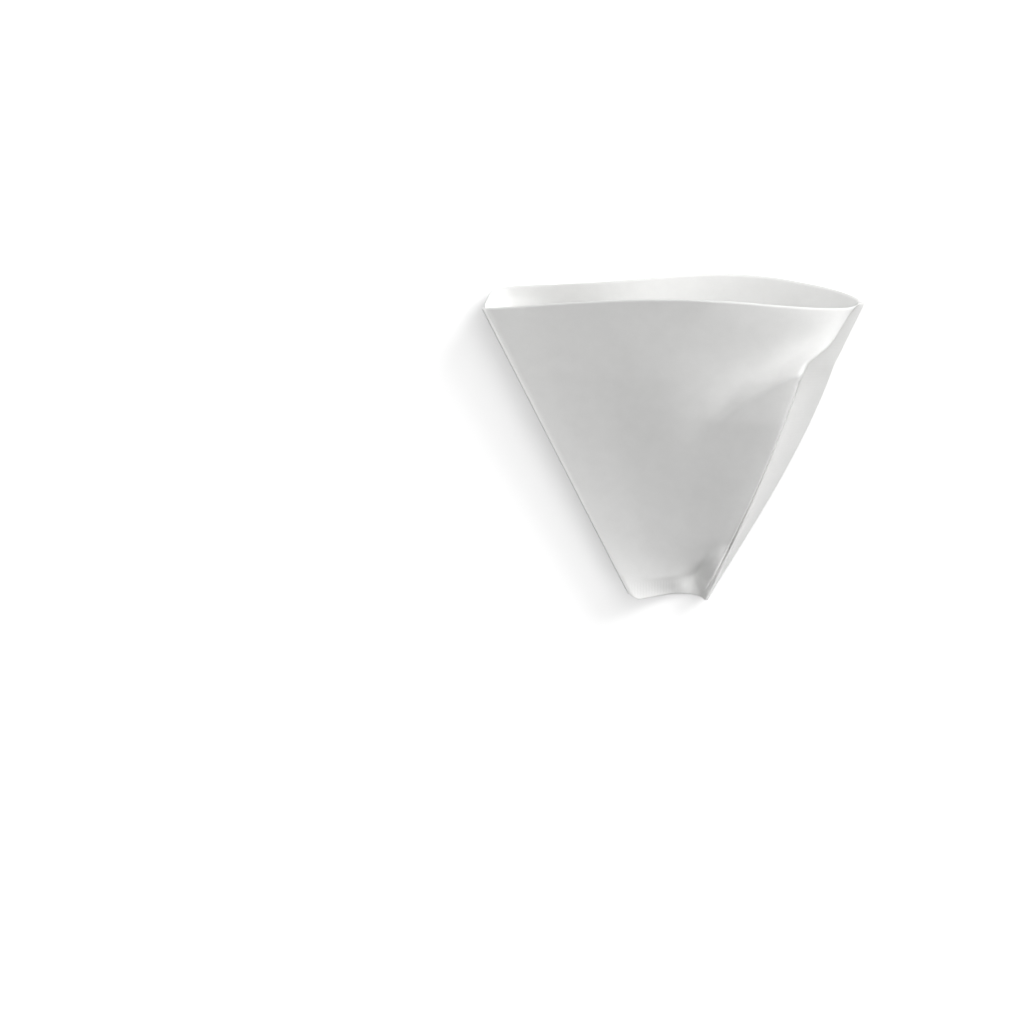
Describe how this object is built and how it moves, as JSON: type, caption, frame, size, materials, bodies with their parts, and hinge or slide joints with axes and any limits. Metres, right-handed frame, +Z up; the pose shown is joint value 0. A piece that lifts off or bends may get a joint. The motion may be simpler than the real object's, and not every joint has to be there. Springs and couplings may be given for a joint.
{
  "type": "paper coffee filter",
  "caption": "Cone-shaped paper coffee filter: a folded sheet with a crimped side seam and foot seam, an open arched mouth and a pinched foot, lying on its back.",
  "frame": {"origin": "centre of the bounding box at the surface the filter lies on", "axes": "+Z up, out of the front wall; +Y from the foot to the mouth; +X to the viewer's right, towards the side seam"},
  "size_m": [0.1432, 0.1244, 0.0466],
  "materials": {
    "paper": "white uncoated filter paper, fine crepe, crimped seams"
  },
  "bodies": {
    "root": {"filter_paper": "paper"}
  },
  "joints": []
}
